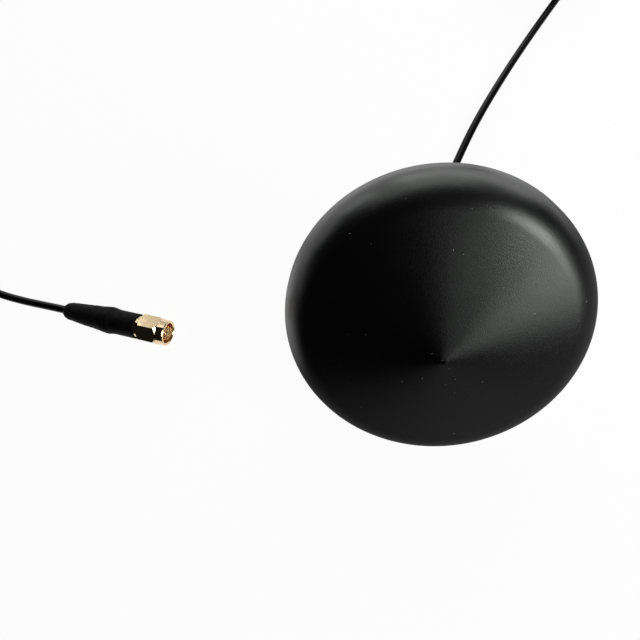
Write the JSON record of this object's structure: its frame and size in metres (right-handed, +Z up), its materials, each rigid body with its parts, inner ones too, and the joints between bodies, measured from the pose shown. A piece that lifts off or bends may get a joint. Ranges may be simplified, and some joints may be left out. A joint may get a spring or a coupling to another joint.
{
  "type": "outdoor antenna",
  "caption": "Low conical outdoor antenna with a hollow threaded mounting stud and a thin coaxial lead that ends in a screw-on gold coaxial plug.",
  "frame": {"origin": "on the surface that the antenna lies on, under the middle of its bounding box (lead, coil and plug left out)", "axes": "+Z up from that surface; +X across the antenna, at right angles to the plane it leans in; +Y the way the lead leaves, away from the side on which the radome's foot rests"},
  "size_m": [0.2382, 0.2069, 0.055],
  "materials": {
    "radome_plastic": "fine spark-eroded texture, matte black",
    "plate_casting": "black glass-filled plastic, matte",
    "seal_rubber": "black foam rubber",
    "gasket_rubber": "black moulded rubber",
    "stud_metal": "nickel-plated brass",
    "screw_steel": "zinc-plated steel",
    "board_laminate": "green solder mask",
    "patch_ceramic": "fired ceramic with silver face",
    "adhesive_pad": "foam adhesive",
    "tin_plate": "tinned sheet",
    "copper_wire": "tinned copper",
    "cable_jacket": "satin black jacket",
    "cable_tie": "black nylon",
    "sleeve_plastic": "matte black heat-shrink",
    "plug_gold": "bright gold plating",
    "insulator_white": "white fluoropolymer",
    "braid_metal": "tinned copper braid",
    "weather_red": "silicone rubber"
  },
  "bodies": {
    "antenna": {"radome": "radome_plastic", "base_plate": "plate_casting", "cover_seal": "seal_rubber", "cover_screws": "screw_steel", "threaded_stud": "stud_metal", "panel_gasket": "gasket_rubber", "circuit_board": "board_laminate", "board_screws": "screw_steel", "patch_pad": "adhesive_pad", "patch_element": "patch_ceramic", "feed_pin": "tin_plate", "shield_can": "tin_plate", "inner_coax": "cable_jacket", "centre_wire": "copper_wire", "braid_clip": "tin_plate", "cable_grommet": "gasket_rubber", "cable_lead": "cable_jacket", "cable_tail": "cable_jacket", "cable_coil": "cable_jacket", "coil_tie": "cable_tie", "heat_shrink_sleeve": "sleeve_plastic", "cable_end": "cable_jacket", "cable_braid": "braid_metal", "cable_core": "insulator_white", "crimp_ferrule": "plug_gold", "plug_body": "plug_gold", "plug_insulator": "insulator_white", "centre_contact": "plug_gold", "snap_ring": "plug_gold", "weather_gasket": "weather_red"},
    "coupling_nut": {"coupling_nut": "plug_gold"}
  },
  "joints": [
    {"name": "nut_spin", "type": "hinge", "parent": "antenna", "child": "coupling_nut", "pos_m": [-0.08421, -0.00308, 0.00475], "axis": [0.9893, -0.139, 0.0436], "continuous": true}
  ]
}
